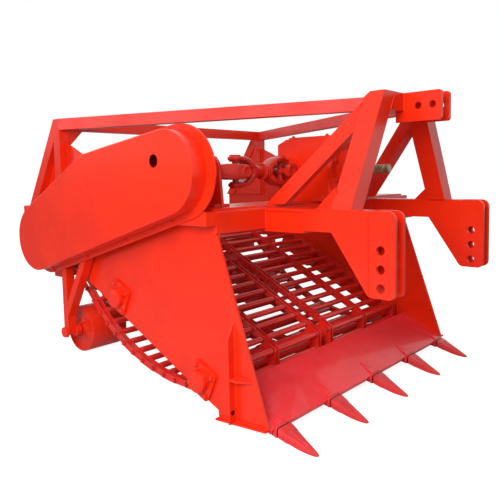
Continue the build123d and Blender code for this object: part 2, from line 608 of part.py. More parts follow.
def bearing_stand():
    """Upright plate on the deck with the bearing of the cross shaft."""
    x0, x1 = STAND_X - 8, STAND_X + 8
    outline = [
        (SHAFT_Y - 71, DECK_TOP), (SHAFT_Y + 79, DECK_TOP),
        (SHAFT_Y + 54, SHAFT_Z + 40), (SHAFT_Y + 29, SHAFT_Z + 70),
        (SHAFT_Y - 29, SHAFT_Z + 70), (SHAFT_Y - 54, SHAFT_Z + 40),
    ]
    housing = rod_x(SHAFT_Y, SHAFT_Z, SHAFT_R + 23, x0 - 30, x1)
    foot = block(x0 - 40, x1 + 40, SHAFT_Y - 66, SHAFT_Y + 79, DECK_TOP, DECK_TOP + 12)
    bore = rod_x(SHAFT_Y, SHAFT_Z, SHAFT_R + FIT, x0 - 40, x1 + 10)
    NODES["bearing_stand"] = slab(outline, x0, x1) + housing + foot - bore


def case_face(grow, shift=0.0):
    """Side-view face of the chain case, its lobes grown by a margin."""
    circles = [Pos(y, z) * CenterArc((0, 0), r + grow, 0, 360) for y, z, r in CASE_LOBES]
    if shift:
        y, z, r = CASE_LOBES[0]
        circles.append(Pos(y - shift, z) * CenterArc((0, 0), r + grow, 0, 360))
    return Plane.YZ * make_hull([edge for circle in circles for edge in circle.edges()])


def chain_case():
    """Chain case outside the left frame: a back plate and a hollow cover with one round hole."""
    rim = case_face(CASE_RIM, CASE_RIM_FRONT)
    back = Pos(CASE_X1 - CASE_BACK, 0, 0) * extrude(rim, amount=CASE_BACK, dir=(1, 0, 0))
    back -= rod_x(SHAFT_Y, SHAFT_Z, SHAFT_R + 6, CASE_X1 - 20, CASE_X1 + 10)
    NODES["chain_case_back"] = back
    depth = CASE_DEPTH - CASE_BACK
    outer = Pos(CASE_X0, 0, 0) * extrude(case_face(0), amount=depth, dir=(1, 0, 0))
    outer = chamfer(outer.faces().sort_by(Axis.X)[0].edges(), 4)
    inner = Pos(CASE_X0 + CASE_WALL, 0, 0) * extrude(case_face(-CASE_WALL), amount=depth, dir=(1, 0, 0))
    hole_y, hole_z = SHAFT_Y + SIGHT_HOLE[0], SHAFT_Z + SIGHT_HOLE[1]
    NODES["chain_case_cover"] = outer - inner - rod_x(hole_y, hole_z, SIGHT_HOLE_R, CASE_X0 - 1, CASE_X0 + 20)


def park():
    """Tips the machine back until teeth and wheels are level, and centres it over the origin."""
    tilt = degrees(atan2(WHEEL_Z, WHEEL_Y) - asin(WHEEL_R / hypot(WHEEL_Z, WHEEL_Y)))
    tipped = {name: Rot(-tilt, 0, 0) * solid for name, solid in NODES.items()}
    boxes = [solid.bounding_box() for solid in tipped.values()]
    x0, x1 = min(box.min.X for box in boxes), max(box.max.X for box in boxes)
    y0, y1 = min(box.min.Y for box in boxes), max(box.max.Y for box in boxes)
    shift = Pos(-(x0 + x1) / 2, -(y0 + y1) / 2, -min(box.min.Z for box in boxes))
    print("tilt", round(tilt, 4), "shift", shift.position)
    return {name: shift * solid for name, solid in tipped.items()}


def main():
    """Builds every piece and writes one file for each."""
    side_plates()
    side_rails()
    crossbeam()
    hitch_arms()
    masts()
    top_clevis()
    mast_braces()
    upper_frame()
    rear_frames()
    gauge_wheels()
    wheel_mounts()
    digging_blade()
    digging_teeth()
    web_shafts(elevator_webs())
    shaft_bearings()
    gearbox()
    cross_shaft()
    bearing_stand()
    chain_case()
    os.makedirs("parts", exist_ok=True)
    for name, solid in park().items():
        export_step(solid, f"parts/{name}.step")


main()
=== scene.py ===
"""Looks of the cassava harvester: paint, steel, welds, bolts, the link chains of the elevator webs,
the drum wheels, the splined input shaft, the forked cross shaft, the cast teeth and small plates,
with the camera, floor and light of the photograph.

Details are placed in level millimetres, as on the drawing of the part: X across, left side negative,
Y backwards from the tooth tips, Z up from them. PARK carries them to the parked machine, in metres.
"""

import json
from math import asin, atan2, ceil, cos, degrees, hypot, pi, radians, sin, tan

import bmesh
import bpy
from mathutils import Matrix, Vector


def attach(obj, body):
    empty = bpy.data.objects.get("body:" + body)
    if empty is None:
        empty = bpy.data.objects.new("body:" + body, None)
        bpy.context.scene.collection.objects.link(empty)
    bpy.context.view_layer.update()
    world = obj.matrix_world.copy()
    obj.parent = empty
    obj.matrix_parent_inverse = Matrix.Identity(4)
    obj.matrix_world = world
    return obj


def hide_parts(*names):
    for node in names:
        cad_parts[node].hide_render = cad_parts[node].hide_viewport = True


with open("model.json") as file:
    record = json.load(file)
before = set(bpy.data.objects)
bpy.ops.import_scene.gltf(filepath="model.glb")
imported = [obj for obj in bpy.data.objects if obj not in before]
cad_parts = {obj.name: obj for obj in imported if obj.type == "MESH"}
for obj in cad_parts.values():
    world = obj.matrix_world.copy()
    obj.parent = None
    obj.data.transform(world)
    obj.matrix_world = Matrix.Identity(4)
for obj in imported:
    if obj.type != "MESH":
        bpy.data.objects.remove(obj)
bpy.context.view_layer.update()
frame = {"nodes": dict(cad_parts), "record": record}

MM = 0.001

# Sizes of the part that the details follow, in level millimetres: R is a radius, and X, Y and Z a place
SIDE_X, INNER_X, RAIL = 847.0, 835.0, 60.0
BEAM_Y, BEAM_Z, DECK_TOP, RAIL_TOP = 450.0, 853.0, 963.0, 952.0
HITCH_OUT_X, HITCH_IN_X, ARM_TOP = 524.0, 438.0, 949.0
MAST_TOP, MAST_DEPTH, MAST_WIDTH, MAST_LEAN = 1463.0, 96.0, 100.0, 0.564
WHEEL_R, WHEEL_W, WHEEL_OUT_X = 127.0, 220.0, 820.0
WHEEL_Y, WHEEL_Z, AXLE_BORE_R = 1563.0, 267.0, 20.05
BRACKET_OUT_X, BRACKET_IN_X = 905.0, 855.0
NOSE_Y, NOSE_Z, NOSE_R = 557.0, 209.0, 75.0
DRIVE_Y, DRIVE_Z, SUPPORT_Y = 1685.0, 785.0, 1140.0
SUPPORT_Z = NOSE_Z + (DRIVE_Z - NOSE_Z) * (SUPPORT_Y - NOSE_Y) / (DRIVE_Y - NOSE_Y)
SAG_R, SAG_SLOPE, LINKS, SPROCKET_TEETH = 1000.0, 45.0, 38, 6
PIN_R, SLEEVE_R, PLATE_R, LINK_PLATE, LINK_SPREAD = 8.0, 15.5, 17.0, 7.0, 36.0
WEB_EDGE_X, WEB_GAP_X, ROD_OVERHANG = 782.0, 58.0, 30.0
SHAFT_Y, SHAFT_Z = 611.0, 1118.0
GEARBOX_X, GEARBOX_Y0, GEARBOX_Y1, GEARBOX_TOP = 120.0, 360.0, 700.0, 1283.0
CASE_PLATE_X = -915.0
CASE_LOBES = ((611.0, 1118.0, 180.0), (1165.0, 1045.0, 175.0), (1685.0, 785.0, 175.0))
BLADE_FRONT, BLADE_REAR = (180.0, 79.0), (440.0, 197.0)
PTO_R, PTO_FRONT, PTO_BACK = 22.225, 97.0, 250.0
BEARING_FLANGE, BEARING_HOUSING = 14.0, 44.0
TOOTH_COUNT, TOOTH_STEP, TOOTH_HALF = 5, 385.0, 43.0
JOINT_LEFT_X, JOINT_MIDDLE_X, JOINT_RIGHT_X, EAR_OFFSET = -548.0, -345.0, -208.0, 62.0
STIFFENER_X, STIFFENER_Y, STIFFENER_HOLE_Z = 868.0, 361.6, 116.0
GUSSET_FACES_X = (-489.0, -477.0)

# The machine parks tipped back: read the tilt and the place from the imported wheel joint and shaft
MOUNTS = {mount["name"]: mount for mount in frame["record"]["mounts"]}
WHEEL_JOINT = [joint for joint in frame["record"]["behaviour"]["joints"] if "left" in joint["name"]][0]
SHAFT_AXIS = MOUNTS["power_input"]["axis"]
TIP = Matrix.Rotation(-atan2(SHAFT_AXIS[2], -SHAFT_AXIS[1]), 4, "X")
SHIFT = Vector(WHEEL_JOINT["pos_m"]) - TIP @ (Vector((0, WHEEL_Y, WHEEL_Z)) * MM)
PARK = Matrix.Translation(SHIFT) @ TIP
PARK_MM = PARK @ Matrix.Scale(MM, 4)


# Shader groups

def new_group(name, inputs, outputs):
    """Shader group with named inputs (name, socket type, value) and outputs (name, socket type)."""
    tree = bpy.data.node_groups.new(name, "ShaderNodeTree")
    for label, kind, value in inputs:
        tree.interface.new_socket(label, in_out="INPUT", socket_type=kind).default_value = value
    for label, kind in outputs:
        tree.interface.new_socket(label, in_out="OUTPUT", socket_type=kind)
    return tree, tree.nodes.new("NodeGroupInput"), tree.nodes.new("NodeGroupOutput")


def node(tree, kind, inputs=(), **settings):
    """Adds a node, sets its properties, and sets or links its inputs from (socket, value) pairs."""
    made = tree.nodes.new(kind)
    for key, value in settings.items():
        setattr(made, key, value)
    for socket, value in inputs:
        if isinstance(value, bpy.types.NodeSocket):
            tree.links.new(value, made.inputs[socket])
        else:
            made.inputs[socket].default_value = value
    return made


def noise(tree, scale, detail, rough):
    """Noise over object coordinates, scale per metre, as its value output."""
    place = node(tree, "ShaderNodeTexCoord").outputs["Object"]
    inputs = [("Vector", place), ("Scale", scale), ("Detail", detail), ("Roughness", rough)]
    return node(tree, "ShaderNodeTexNoise", inputs).outputs[0]


def ramp(tree, value, low, high):
    """Smooth step of a value from low to high."""
    inputs = [(0, value), (1, low), (2, high)]
    return node(tree, "ShaderNodeMapRange", inputs, interpolation_type="SMOOTHSTEP").outputs[0]


def maths(tree, kind, a, b):
    """Two-input maths node, as its output."""
    return node(tree, "ShaderNodeMath", [(0, a), (1, b)], operation=kind).outputs[0]


def mix_colour(tree, factor, a, b):
    """Mix of two colours, as its output."""
    made = node(tree, "ShaderNodeMix", [(0, factor), (6, a), (7, b)], data_type="RGBA")
    return made.outputs[2]


def edge_wear_and_highlight_group():
    """Mask along convex edges, and the rounded normal. With a dark edge colour it marks paint rubbed thin;
    with a bright one it is a painted highlight of lit edges.
    """
    tree, start, end = new_group(
        "edge_wear_and_highlight",
        [
            ("Radius", "NodeSocketFloat", 0.003), ("Amount", "NodeSocketFloat", 0.5),
            ("Scale", "NodeSocketFloat", 30.0),
        ],
        [("Mask", "NodeSocketFloat"), ("Normal", "NodeSocketVector")],
    )
    bevel = node(tree, "ShaderNodeBevel", [("Radius", start.outputs["Radius"])], samples=6)
    geometry = node(tree, "ShaderNodeNewGeometry")
    normals = [(0, bevel.outputs[0]), (1, geometry.outputs["Normal"])]
    dot = node(tree, "ShaderNodeVectorMath", normals, operation="DOT_PRODUCT")
    edge = ramp(tree, dot.outputs["Value"], 0.99, 0.80)
    patches = ramp(tree, noise(tree, start.outputs["Scale"], 4.0, 0.65), 0.45, 0.62)
    mask = maths(tree, "MULTIPLY", maths(tree, "MULTIPLY", edge, patches), start.outputs["Amount"])
    tree.links.new(mask, end.inputs["Mask"])
    tree.links.new(bevel.outputs[0], end.inputs["Normal"])
    return tree


def paint_variation_group():
    """Uneven film of sprayed paint: a tint factor, a roughness offset and an orange-peel height."""
    tree, start, end = new_group(
        "paint_variation",
        [("Mottle Scale", "NodeSocketFloat", 5.0), ("Peel Scale", "NodeSocketFloat", 240.0)],
        [("Tint", "NodeSocketFloat"), ("Roughness", "NodeSocketFloat"), ("Height", "NodeSocketFloat")],
    )
    broad = noise(tree, start.outputs["Mottle Scale"], 4.0, 0.6)
    fine = noise(tree, start.outputs["Peel Scale"], 2.0, 0.5)
    tree.links.new(ramp(tree, broad, 0.35, 0.70), end.inputs["Tint"])
    tree.links.new(maths(tree, "MULTIPLY", broad, 0.12), end.inputs["Roughness"])
    tree.links.new(fine, end.inputs["Height"])
    return tree


def dust_group():
    """Mask of thin dust on upward faces."""
    tree, start, end = new_group(
        "dust",
        [("Amount", "NodeSocketFloat", 0.2), ("Scale", "NodeSocketFloat", 18.0)],
        [("Mask", "NodeSocketFloat")],
    )
    normal = node(tree, "ShaderNodeNewGeometry").outputs["Normal"]
    up = node(tree, "ShaderNodeSeparateXYZ", [(0, normal)]).outputs[2]
    cloud = ramp(tree, noise(tree, start.outputs["Scale"], 5.0, 0.7), 0.40, 0.75)
    lying = maths(tree, "MULTIPLY", ramp(tree, up, 0.2, 1.0), cloud)
    mask = maths(tree, "MULTIPLY", lying, start.outputs["Amount"])
    tree.links.new(mask, end.inputs["Mask"])
    return tree


EDGE_WEAR_AND_HIGHLIGHT, VARIATION, DUST = edge_wear_and_highlight_group(), paint_variation_group(), dust_group()


def use_group(tree, group, inputs):
    """Group node of a shader group with its inputs set."""
    made = tree.nodes.new("ShaderNodeGroup")
    made.node_tree = group
    for label, value in inputs:
        made.inputs[label].default_value = value
    return made


def rippled(tree, film, edge_marks, strength, distance):
    """Normal of the rounded edges with the film's ripple on it."""
    return node(tree, "ShaderNodeBump", [
        ("Strength", strength), ("Distance", distance),
        ("Height", film.outputs["Height"]), ("Normal", edge_marks.outputs["Normal"]),
    ]).outputs[0]


def paint(
    name, colour, shade, wear_and_highlight_colour, rough=0.24, wear_and_highlight=0.25, dust=0.05, peel=0.00018, radius=0.0025, coat=0.12
):
    """Sprayed paint over steel: colour and shade of its film, and the colour beneath it where edges are rubbed
    bare, which for the web and pin heads is a painted highlight of lit edges instead.
    """
    material = bpy.data.materials.new(name)
    material.use_nodes = True
    tree = material.node_tree
    shader = tree.nodes["Principled BSDF"]
    film = use_group(tree, VARIATION, [("Mottle Scale", 5.0), ("Peel Scale", 260.0)])
    edge_marks = use_group(tree, EDGE_WEAR_AND_HIGHLIGHT, [("Radius", radius), ("Amount", wear_and_highlight), ("Scale", 34.0)])
    dusty = use_group(tree, DUST, [("Amount", dust), ("Scale", 16.0)])
    base = mix_colour(tree, film.outputs["Tint"], (*colour, 1), (*shade, 1))
    base = mix_colour(tree, edge_marks.outputs["Mask"], base, (*wear_and_highlight_colour, 1))
    base = mix_colour(tree, dusty.outputs["Mask"], base, (0.62, 0.50, 0.42, 1))
    tree.links.new(base, shader.inputs["Base Color"])
    gloss = maths(tree, "ADD", film.outputs["Roughness"], rough)
    gloss = maths(tree, "ADD", gloss, maths(tree, "MULTIPLY", dusty.outputs["Mask"], 0.5))
    gloss = maths(tree, "ADD", gloss, maths(tree, "MULTIPLY", edge_marks.outputs["Mask"], 0.3))
    tree.links.new(gloss, shader.inputs["Roughness"])
    hidden = maths(tree, "MULTIPLY", dusty.outputs["Mask"], coat)
    tree.links.new(maths(tree, "SUBTRACT", coat, hidden), shader.inputs["Coat Weight"])
    shader.inputs["Coat Roughness"].default_value = 0.08
    shader.inputs["Specular IOR Level"].default_value = 0.32
    tree.links.new(rippled(tree, film, edge_marks, 0.6, peel), shader.inputs["Normal"])
    return material


def steel(name, colour, shade):
    """Bare steel with a thin uneven film of grease."""
    rough, radius, metallic = 0.32, 0.001, 0.9
    material = bpy.data.materials.new(name)
    material.use_nodes = True
    tree = material.node_tree
    shader = tree.nodes["Principled BSDF"]
    film = use_group(tree, VARIATION, [("Mottle Scale", 22.0), ("Peel Scale", 500.0)])
    edge_marks = use_group(tree, EDGE_WEAR_AND_HIGHLIGHT, [("Radius", radius), ("Amount", 0.8), ("Scale", 60.0)])
    base = mix_colour(tree, film.outputs["Tint"], (*colour, 1), (*shade, 1))
    base = mix_colour(tree, edge_marks.outputs["Mask"], base, (0.78, 0.75, 0.70, 1))
    tree.links.new(base, shader.inputs["Base Color"])
    tree.links.new(maths(tree, "ADD", film.outputs["Roughness"], rough), shader.inputs["Roughness"])
    shader.inputs["Metallic"].default_value = metallic
    tree.links.new(rippled(tree, film, edge_marks, 0.4, 0.0002), shader.inputs["Normal"])
    return material


# Paints: the film's colour, its shade in thick places, and the colour that shows where edges are rubbed
# through, which on the web and pin heads is a painted highlight instead
RED = paint("red_paint", (0.82, 0.024, 0.004), (0.74, 0.020, 0.004), (0.30, 0.03, 0.02))
# The web's pale pink edge colour, laid over almost every edge, is a painted highlight along the lit edges of
# the link plates and sleeves.
WEB = paint(
    "web_paint", (0.80, 0.020, 0.012), (0.62, 0.016, 0.010), (0.90, 0.24, 0.18),
    rough=0.24, wear_and_highlight=0.95, coat=0.3, radius=0.0015,
)
TOOTH = paint(
    "tooth_paint", (0.78, 0.038, 0.042), (0.62, 0.030, 0.034), (0.30, 0.06, 0.05),
    rough=0.34, wear_and_highlight=0.5, peel=0.0008, coat=0.2,
)
JOINT = paint(
    "joint_paint", (0.58, 0.018, 0.009), (0.38, 0.014, 0.008), (0.26, 0.09, 0.05),
    rough=0.26, wear_and_highlight=0.6, peel=0.0006, coat=0.25,
)
DRUM = paint(
    "drum_paint", (0.76, 0.022, 0.005), (0.62, 0.018, 0.005), (0.36, 0.10, 0.07),
    rough=0.28, wear_and_highlight=0.6, dust=0.0,
)
# The pin heads' pale edge colour, laid over almost every edge, is a painted highlight of their lit rims.
PIN_HEAD = paint(
    "pin_head_paint", (0.36, 0.014, 0.010), (0.22, 0.010, 0.008), (0.80, 0.20, 0.14),
    rough=0.26, wear_and_highlight=0.9, coat=0.3, radius=0.001,
)
# The blade's lighter, pinker red is partly its own glossy paint and partly painted sheen of the bright sky on
# its upward slope.
BLADE = paint(
    "blade_paint_and_sheen", (0.94, 0.034, 0.044), (0.84, 0.028, 0.036), (0.36, 0.05, 0.04), rough=0.26, coat=0.3
)
# Top rails: dust and chalky scuffs, on a lighter, pinker film that is painted sheen of the bright sky on the
# rails.
SCUFFED_AND_SHEEN = paint(
    "scuffed_and_sheen_rail_paint", (0.84, 0.075, 0.062), (0.74, 0.050, 0.040), (0.50, 0.16, 0.13),
    rough=0.32, wear_and_highlight=0.5, dust=0.3,
)
# Near black standing for the shade in the tooth seams, the gearbox foot slot and the stiffener holes, which
# the shapes don't open: painted shade.
PAINTED_SHADE = paint(
    "painted_shade_black", (0.05, 0.004, 0.003), (0.03, 0.003, 0.003), (0.10, 0.01, 0.01),
    rough=0.6, wear_and_highlight=0.0, coat=0.0,
)
STEEL = steel("bare_steel", (0.42, 0.33, 0.20), (0.26, 0.19, 0.11))


# Shape helpers, in level millimetres

# Radius at which a spun profile ends at its axis, and the gap within which the points there merge
POLE, POLE_GAP = 0.01, 0.03


def along(start, end):
    """Matrix with its origin midway and its Z axis along the run between two points."""
    start, end = Vector(start), Vector(end)
    turn = (end - start).to_track_quat("Z", "Y").to_matrix().to_4x4()
    return Matrix.Translation((start + end) / 2) @ turn


def bar(bm, start, end, radius, segments=16, end_radius=None):
    """Round bar between two points."""
    bmesh.ops.create_cone(
        bm, cap_ends=True, segments=segments, radius1=radius,
        radius2=radius if end_radius is None else end_radius,
        depth=(Vector(end) - Vector(start)).length, matrix=along(start, end),
    )


def hex_bolt(bm, place, normal, across, height):
    """Washer, hexagon head with a turned top, and the end of the thread."""
    place, normal = Vector(place), Vector(normal).normalized()
    radius, washer = across / 3 ** 0.5, 2.2
    bar(bm, place, place + normal * washer, across * 0.72, 20)
    head = washer + height * 0.72
    bar(bm, place + normal * washer, place + normal * head, radius, 6)
    bar(bm, place + normal * head, place + normal * (washer + height), radius * 0.86, 12, radius * 0.70)


def spun(bm, profile, start, axis, steps):
    """Profile of (distance along the axis, radius) points, spun about the axis."""
    frame_of = Matrix.Translation(Vector(start)) @ Vector(axis).to_track_quat("Z", "Y").to_matrix().to_4x4()
    points = [bm.verts.new(frame_of @ Vector((radius, 0, run))) for run, radius in profile]
    edges = [bm.edges.new(pair) for pair in zip(points, points[1:])]
    bmesh.ops.spin(
        bm, geom=points + edges, cent=start, axis=Vector(axis), angle=2 * pi, steps=steps,
        use_merge=True, use_duplicate=False,
    )
    bmesh.ops.remove_doubles(bm, verts=bm.verts, dist=POLE_GAP)


def bead(bm, start, end, radius=4.0, sides=8, ripple=7.0):
    """Weld bead along a straight seam, its ripples as rings."""
    run = (Vector(end) - Vector(start)).length
    rings = max(3, ceil(run / ripple))
    made = bmesh.ops.create_grid(bm, x_segments=rings, y_segments=sides, size=1.0)["verts"]
    place = along(start, end)
    for vert in made:
        share, turn = (vert.co.x + 1) / 2, (vert.co.y + 1) * pi
        ring = round(share * rings)
        swell = radius * (0.82 + 0.18 * (ring % 2) + 0.05 * sin(ring * 2.4))
        if ring in (0, rings):
            swell *= 0.45
        vert.co = place @ Vector((swell * cos(turn), swell * sin(turn), (share - 0.5) * run))
    bmesh.ops.remove_doubles(bm, verts=made, dist=0.05)


def loft(bm, stations, place, sides, power):
    """Closed body through rounded sections along the Z axis of a place.

    A section is its distance, the offsets of its middle and its half sizes across and up. A power of 2
    gives ellipses, and a higher one squarer sections.
    """
    last = len(stations) - 1
    made = bmesh.ops.create_grid(bm, x_segments=last, y_segments=sides, size=1.0)["verts"]
    ends = []
    for vert in made:
        row, turn = round((vert.co.x + 1) / 2 * last), (vert.co.y + 1) * pi
        run, off_u, off_v, half_u, half_v = stations[row]
        u = off_u + half_u * abs(cos(turn)) ** (2 / power) * (1 if cos(turn) > 0 else -1)
        v = off_v + half_v * abs(sin(turn)) ** (2 / power) * (1 if sin(turn) > 0 else -1)
        vert.co = place @ Vector((u, v, run))
        if row in (0, last):
            ends.append(vert)
    bmesh.ops.remove_doubles(bm, verts=made, dist=0.001)
    rims = [edge for vert in ends if vert.is_valid for edge in vert.link_edges if edge.is_boundary]
    bmesh.ops.holes_fill(bm, edges=list(set(rims)))


def bevelled_bar(bm, middle, size):
    """Rectangular bar with its edges eased."""
    bar_place = Matrix.Translation(middle) @ Matrix.Diagonal((*size, 1))
    made = bmesh.ops.create_cube(bm, size=1.0, matrix=bar_place)["verts"]
    edges = list({edge for vert in made for edge in vert.link_edges})
    bmesh.ops.bevel(bm, geom=edges, offset=1.0, segments=2, profile=0.5, material=-1, affect="EDGES")


def piece(name, bm, material, body="frame", merge=False):
    """Turns a bmesh in level millimetres into a piece that rides on a body."""
    if merge:
        bmesh.ops.remove_doubles(bm, verts=bm.verts, dist=0.01)
    bmesh.ops.recalc_face_normals(bm, faces=bm.faces)
    bm.transform(PARK_MM)
    mesh = bpy.data.meshes.new(name)
    bm.to_mesh(mesh)
    bm.free()
    mesh.shade_smooth()
    mesh.set_sharp_from_angle(angle=radians(34))
    mesh.materials.append(material)
    made = bpy.data.objects.new(name, mesh)
    bpy.context.scene.collection.objects.link(made)
    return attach(made, body)


SIDES = (("left", -1), ("right", 1))


# Elevator webs

def on_circle(centre, radius, angle):
    """Point of a circle in the side view, its angle in degrees."""
    return centre[0] + radius * cos(radians(angle)), centre[1] + radius * sin(radians(angle))


def length_of(run):
    """Length of one run of the loop."""
    if run[0] == "line":
        return hypot(run[2][0] - run[1][0], run[2][1] - run[1][1])
    return run[2] * radians(abs(run[4] - run[3]))


def loop_on(drive_r):
    """The web's loop on a drive circle: lines (start, end) and arcs (centre, radius, from, to)."""
    rise, span = atan2(DRIVE_Z - NOSE_Z, DRIVE_Y - NOSE_Y), hypot(DRIVE_Z - NOSE_Z, DRIVE_Y - NOSE_Y)
    top, low = degrees(rise + asin((drive_r - NOSE_R) / span)) + 90, SAG_SLOPE - 90
    nose, drive = (NOSE_Y, NOSE_Z), (DRIVE_Y, DRIVE_Z)
    leave, nose_low = on_circle(drive, drive_r, low), on_circle(nose, NOSE_R, -90)
    bend_z = nose_low[1] + SAG_R * (1 - cos(radians(SAG_SLOPE)))
    bend_y = leave[0] - (leave[1] - bend_z) / tan(radians(SAG_SLOPE))
    sag = (bend_y - SAG_R * sin(radians(SAG_SLOPE)), nose_low[1] + SAG_R)
    return [
        ("line", on_circle(nose, NOSE_R, top), on_circle(drive, drive_r, top)),
        ("arc", drive, drive_r, top, low),
        ("line", leave, (bend_y, bend_z)),
        ("arc", sag, SAG_R, low, -90),
        ("line", (sag[0], nose_low[1]), nose_low),
        ("arc", nose, NOSE_R, -90, top - 360),
    ]


def rod_places():
    """Centres of the rods round the loop."""
    drive_r = NOSE_R
    for _ in range(8):
        loop = loop_on(drive_r)
        pitch = sum(length_of(run) for run in loop) / LINKS
        drive_r = pitch * SPROCKET_TEETH / (2 * pi)
    places, travelled = [], pitch / 2
    for run in loop:
        length = length_of(run)
        while travelled < length:
            share = travelled / length
            if run[0] == "line":
                places.append(tuple(a + (b - a) * share for a, b in zip(run[1], run[2])))
            else:
                places.append(on_circle(run[1], run[2], run[3] + (run[4] - run[3]) * share))
            travelled += pitch
        travelled -= length
    return places


def link_plate(bm, a, b, x, thick):
    """Stadium plate of one link between two rods, at a place across the machine."""
    segments, reach = 18, hypot(b[0] - a[0], b[1] - a[1]) / 2
    turn = Matrix.Rotation(pi / segments, 4, "Z")
    made = bmesh.ops.create_cone(
        bm, cap_ends=True, segments=segments, radius1=PLATE_R, radius2=PLATE_R, depth=thick, matrix=turn
    )["verts"]
    for vert in made:
        vert.co.x += reach if vert.co.x > 0 else -reach
    slope = atan2(b[1] - a[1], b[0] - a[0])
    stand = Matrix(((0, 0, 1, x), (1, 0, 0, (a[0] + b[0]) / 2), (0, 1, 0, (a[1] + b[1]) / 2), (0, 0, 0, 1)))
    bmesh.ops.transform(bm, matrix=stand @ Matrix.Rotation(slope, 4, "Z"), verts=made)


def elevator_web(side, sign):
    """One web: sleeved pins between the chains, and chains of twin link plates that overlap at the pins."""
    rods = rod_places()
    bm, heads = bmesh.new(), bmesh.new()
    strands = (WEB_GAP_X, (WEB_EDGE_X + WEB_GAP_X) / 2, WEB_EDGE_X)
    clear, taper = LINK_SPREAD / 2 + 7.0, 4.0
    inner, outer = WEB_GAP_X - ROD_OVERHANG, WEB_EDGE_X + ROD_OVERHANG
    for y, z in rods:
        bar(bm, (sign * inner, y, z), (sign * outer, y, z), PIN_R, 10)
        for start, end in zip(strands, strands[1:]):
            low, high = start + clear, end - clear
            near, far = (sign * (low + taper), y, z), (sign * (high - taper), y, z)
            bar(bm, near, far, SLEEVE_R, 16)
            bar(bm, near, (sign * low, y, z), SLEEVE_R, 16, SLEEVE_R - taper)
            bar(bm, far, (sign * high, y, z), SLEEVE_R, 16, SLEEVE_R - taper)
    plate = LINK_PLATE / 2
    for strand in strands:
        for edge in (-1, 1):
            middle = strand + edge * (LINK_SPREAD - LINK_PLATE) / 2
            for number, (a, b) in enumerate(zip(rods, rods[1:] + rods[:1])):
                layer = plate / 2 if number % 2 else -plate / 2
                link_plate(bm, a, b, sign * (middle + edge * layer), plate - 0.3)
            for y, z in rods:
                face = sign * (middle + edge * plate)
                bar(heads, (face, y, z), (face + sign * edge * 4.0, y, z), PIN_R + 4, 12, PIN_R + 2)
    made = piece(f"elevator_web_{side}", bm, WEB)
    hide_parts(f"web_upper_{side}", f"web_return_{side}")
    piece(f"web_pin_heads_{side}", heads, PIN_HEAD)


for side, sign in SIDES:
    elevator_web(side, sign)


# Drum wheels

def drum_wheel(side, sign):
    """Rolled drum with dished discs, hub tube, a hub ring and six bolts."""
    dish, wall, hub, bolt_circle = 16.0, 10.0, 38.0, 50.0
    rim, inside = WHEEL_R, WHEEL_R - wall
    half = [
        (WHEEL_W / 2, rim), (3.0, rim), (1.0, rim - 0.8), (0.0, rim - 3.0), (0.0, inside + 1.5), (1.5, inside),
        (dish - 3, inside), (dish - 0.8, inside - 1.0), (dish, inside - 4), (dish + 3.0, 96.0),
        (dish + 3.0, 58.0), (dish, 50.0), (dish - 1, hub + 5), (dish - 4, hub + 1), (4.0, hub),
        (2.6, hub - 1.0), (2.0, hub - 4), (2.0, AXLE_BORE_R + 2),
        (3.5, AXLE_BORE_R), (WHEEL_W / 2, AXLE_BORE_R),
    ]
    bm = bmesh.new()
    for start, axis in ((sign * WHEEL_OUT_X, -sign), (sign * (WHEEL_OUT_X - WHEEL_W), sign)):
        spun(bm, half, (start, WHEEL_Y, WHEEL_Z), (axis, 0, 0), 64)
    for number in range(6):
        turn = pi * number / 3
        y, z = WHEEL_Y + bolt_circle * cos(turn), WHEEL_Z + bolt_circle * sin(turn)
        spot = (sign * (WHEEL_OUT_X - dish - 2.6), y, z)
        hex_bolt(bm, spot, (sign, 0, 0), 13.0, 6.0)
    made = piece(f"drum_wheel_{side}", bm, DRUM, f"wheel_{side}", merge=True)
    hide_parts(f"gauge_wheel_{side}")


for side, sign in SIDES:
    drum_wheel(side, sign)


# Splined input shaft

def splined_stub():
    """Input shaft with twenty splines, its locking groove and chamfered end."""
    splines, root = 20, PTO_R - 2.4
    bm = bmesh.new()
    stations = [
        (PTO_FRONT, root - 3.0, root - 3.0), (PTO_FRONT + 3.5, root, PTO_R), (PTO_FRONT + 20, root, PTO_R),
        (PTO_FRONT + 22, root - 1.0, root - 1.0), (PTO_FRONT + 30, root - 1.0, root - 1.0),
        (PTO_FRONT + 32, root, PTO_R), (PTO_BACK - 30, root, PTO_R),
        (PTO_BACK - 24, PTO_R, PTO_R), (PTO_BACK, PTO_R, PTO_R),
    ]
    count = splines * 4
    grid = bmesh.ops.create_grid(bm, x_segments=len(stations) - 1, y_segments=count, size=1.0)["verts"]
    for vert in grid:
        y, low, high = stations[round((vert.co.x + 1) / 2 * (len(stations) - 1))]
        step = round((vert.co.y + 1) / 2 * count)
        radius, turn = (high if step % 4 in (1, 2) else low), 2 * pi * step / count
        vert.co = Vector((radius * cos(turn), y, SHAFT_Z + radius * sin(turn)))
    bmesh.ops.remove_doubles(bm, verts=bm.verts, dist=0.01)
    bmesh.ops.holes_fill(bm, edges=[edge for edge in bm.edges if edge.is_boundary])
    made = piece("splined_shaft", bm, STEEL)
    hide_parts("input_shaft")


splined_stub()


# Bolts

BEARING_CAP = (
    (-7, 47), (-6, 48.5), (0.5, 48.5), (2.5, 46.5), (2.5, 42), (0.6, 40.5), (0.6, 37), (1.6, 35.5), (1.6, POLE)
)


